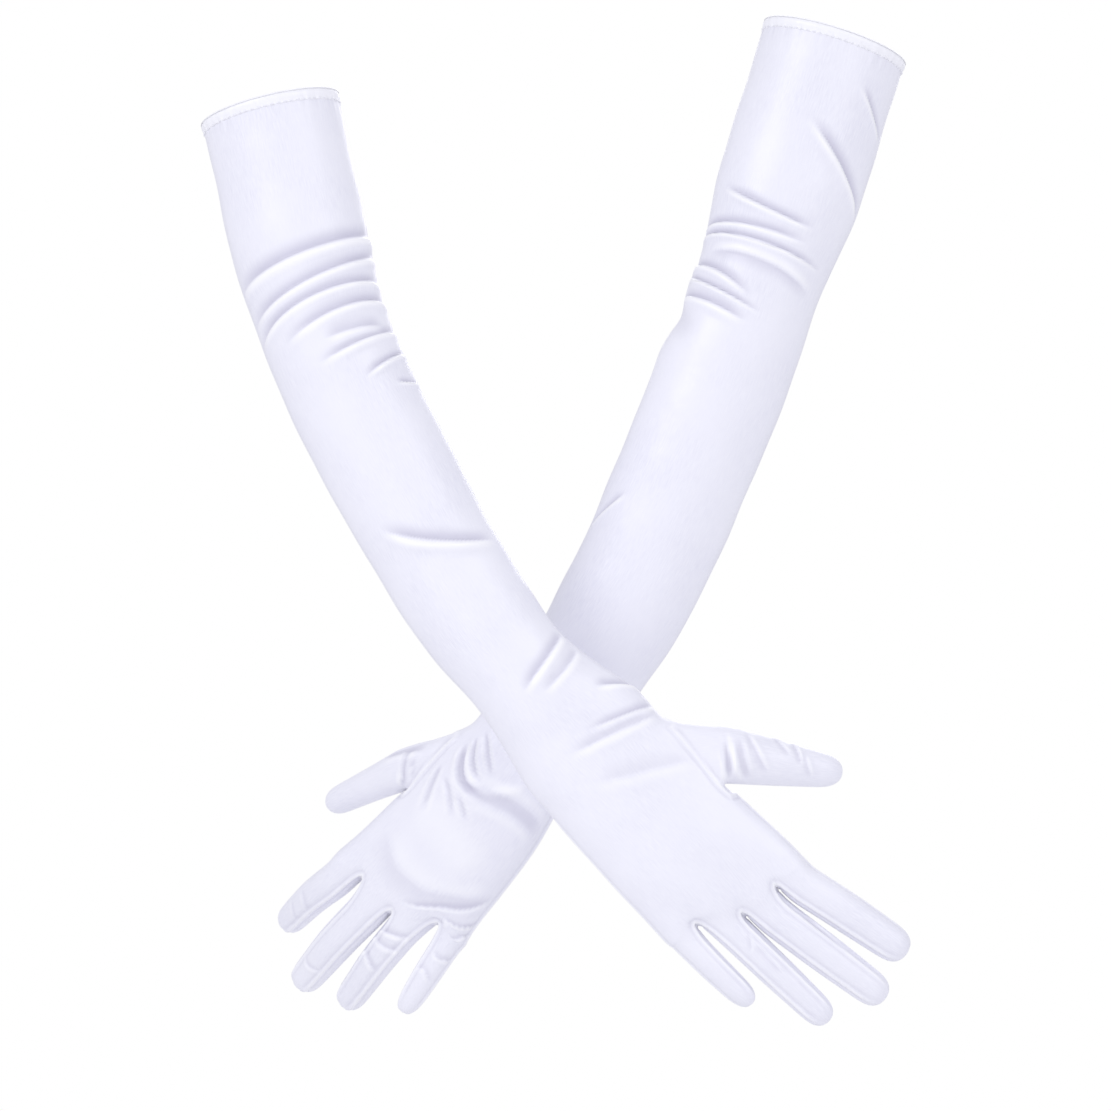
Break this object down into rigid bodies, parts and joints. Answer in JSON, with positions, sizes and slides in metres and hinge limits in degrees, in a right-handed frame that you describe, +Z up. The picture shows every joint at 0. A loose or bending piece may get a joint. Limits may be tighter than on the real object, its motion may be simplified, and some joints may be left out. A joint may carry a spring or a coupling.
{
  "type": "opera gloves",
  "caption": "Pair of long white satin opera gloves in worn shape, arms crossed at the wrists, with gathered elbows and wrists.",
  "frame": {"origin": "centre of the left glove's arm opening, in the plane of its turned edge", "axes": "+Z up, towards the arm openings; +X to the viewer's right; backs of the hands face -Y, palms face +Y; the right glove lies in front (-Y) of the left one"},
  "size_m": [0.3504, 0.1815, 0.5038],
  "materials": {
    "satin": "satin",
    "gathered_satin": "satin",
    "elastic": "matte"
  },
  "bodies": {
    "left_upper": {"left_cuff_hem": "satin", "left_cuff_elastic": "elastic", "left_upper_back_panel": "satin", "left_upper_palm_panel": "satin", "left_elbow_band": "gathered_satin"},
    "left_forearm": {"left_forearm_back_panel": "satin", "left_forearm_palm_panel": "satin", "left_wrist_band": "gathered_satin"},
    "left_hand": {"left_hand_back_panel": "satin", "left_hand_palm_panel": "satin", "left_thumb_gusset_band": "gathered_satin", "left_index_knuckle_band": "gathered_satin", "left_middle_knuckle_band": "gathered_satin", "left_ring_knuckle_band": "gathered_satin", "left_little_knuckle_band": "gathered_satin"},
    "left_thumb": {"left_thumb": "satin"},
    "left_index": {"left_index_back_panel": "satin", "left_index_palm_panel": "satin", "left_index_ulnar_fourchette": "satin"},
    "left_middle": {"left_middle_back_panel": "satin", "left_middle_palm_panel": "satin", "left_middle_radial_fourchette": "satin", "left_middle_ulnar_fourchette": "satin"},
    "left_ring": {"left_ring_back_panel": "satin", "left_ring_palm_panel": "satin", "left_ring_radial_fourchette": "satin", "left_ring_ulnar_fourchette": "satin"},
    "left_little": {"left_little_back_panel": "satin", "left_little_palm_panel": "satin", "left_little_radial_fourchette": "satin"},
    "right_upper": {"right_cuff_hem": "satin", "right_cuff_elastic": "elastic", "right_upper_back_panel": "satin", "right_upper_palm_panel": "satin", "right_elbow_band": "gathered_satin"},
    "right_forearm": {"right_forearm_back_panel": "satin", "right_forearm_palm_panel": "satin", "right_wrist_band": "gathered_satin"},
    "right_hand": {"right_hand_back_panel": "satin", "right_hand_palm_panel": "satin", "right_thumb_gusset_band": "gathered_satin", "right_index_knuckle_band": "gathered_satin", "right_middle_knuckle_band": "gathered_satin", "right_ring_knuckle_band": "gathered_satin", "right_little_knuckle_band": "gathered_satin"},
    "right_thumb": {"right_thumb": "satin"},
    "right_index": {"right_index_back_panel": "satin", "right_index_palm_panel": "satin", "right_index_ulnar_fourchette": "satin"},
    "right_middle": {"right_middle_back_panel": "satin", "right_middle_palm_panel": "satin", "right_middle_radial_fourchette": "satin", "right_middle_ulnar_fourchette": "satin"},
    "right_ring": {"right_ring_back_panel": "satin", "right_ring_palm_panel": "satin", "right_ring_radial_fourchette": "satin", "right_ring_ulnar_fourchette": "satin"},
    "right_little": {"right_little_back_panel": "satin", "right_little_palm_panel": "satin", "right_little_radial_fourchette": "satin"}
  },
  "joints": [
    {"name": "right_glove_apart", "type": "slide", "parent": "left_upper", "child": "right_upper", "axis": [0, -1, 0], "range_m": [0, 0.15]},
    {"name": "left_elbow", "type": "hinge", "parent": "left_upper", "child": "left_forearm", "pos_m": [-0.03954, -0.01579, -0.12239], "axis": [-0.0211, 0.9981, -0.0572], "range_deg": [-8, 60], "deforming": ["left_elbow_band"]},
    {"name": "left_wrist", "type": "hinge", "parent": "left_forearm", "child": "left_hand", "pos_m": [-0.15865, -0.01578, -0.36075], "axis": [0.7522, -0.2736, -0.5995], "range_deg": [-20, 45], "deforming": ["left_wrist_band"]},
    {"name": "left_thumb_base", "type": "hinge", "parent": "left_hand", "child": "left_thumb", "pos_m": [-0.22253, 0.01227, -0.37046], "axis": [0.3329, -0.1268, -0.9344], "range_deg": [-10, 40], "deforming": ["left_thumb_gusset_band"]},
    {"name": "left_index_knuckle", "type": "hinge", "parent": "left_hand", "child": "left_index", "pos_m": [-0.25304, 0.02142, -0.42488], "axis": [0.4738, -0.1823, -0.8615], "range_deg": [-15, 50], "deforming": ["left_index_knuckle_band"]},
    {"name": "left_middle_knuckle", "type": "hinge", "parent": "left_hand", "child": "left_middle", "pos_m": [-0.23828, 0.01546, -0.44117], "axis": [0.5974, -0.2302, -0.7682], "range_deg": [-15, 50], "deforming": ["left_middle_knuckle_band"]},
    {"name": "left_ring_knuckle", "type": "hinge", "parent": "left_hand", "child": "left_ring", "pos_m": [-0.2194, 0.00815, -0.45005], "axis": [0.6483, -0.2499, -0.7192], "range_deg": [-15, 50], "deforming": ["left_ring_knuckle_band"]},
    {"name": "left_little_knuckle", "type": "hinge", "parent": "left_hand", "child": "left_little", "pos_m": [-0.19757, -0.00076, -0.4575], "axis": [0.7717, -0.2978, -0.5619], "range_deg": [-15, 50], "deforming": ["left_little_knuckle_band"]},
    {"name": "right_elbow", "type": "hinge", "parent": "right_upper", "child": "right_forearm", "pos_m": [-0.25531, -0.07986, -0.14823], "axis": [-0.0253, -0.9975, 0.0656], "range_deg": [-8, 60], "deforming": ["right_elbow_band"]},
    {"name": "right_wrist", "type": "hinge", "parent": "right_forearm", "child": "right_hand", "pos_m": [-0.11853, -0.07987, -0.36072], "axis": [0.7395, 0, 0.6732], "range_deg": [-45, 30], "deforming": ["right_wrist_band"]},
    {"name": "right_thumb_base", "type": "hinge", "parent": "right_hand", "child": "right_thumb", "pos_m": [-0.04984, -0.07715, -0.35895], "axis": [0.167, 0, 0.986], "range_deg": [-10, 40], "deforming": ["right_thumb_gusset_band"]},
    {"name": "right_index_knuckle", "type": "hinge", "parent": "right_hand", "child": "right_index", "pos_m": [-0.01883, -0.07984, -0.42253], "axis": [0.5505, 0, 0.8349], "range_deg": [-10, 75], "deforming": ["right_index_knuckle_band"]},
    {"name": "right_middle_knuckle", "type": "hinge", "parent": "right_hand", "child": "right_middle", "pos_m": [-0.03281, -0.07985, -0.43756], "axis": [0.6004, 0, 0.7997], "range_deg": [-10, 75], "deforming": ["right_middle_knuckle_band"]},
    {"name": "right_ring_knuckle", "type": "hinge", "parent": "right_hand", "child": "right_ring", "pos_m": [-0.0519, -0.07985, -0.44614], "axis": [0.6896, 0, 0.7242], "range_deg": [-10, 75], "deforming": ["right_ring_knuckle_band"]},
    {"name": "right_little_knuckle", "type": "hinge", "parent": "right_hand", "child": "right_little", "pos_m": [-0.07321, -0.07977, -0.4523], "axis": [0.6997, 0, 0.7145], "range_deg": [-10, 75], "deforming": ["right_little_knuckle_band"]}
  ]
}
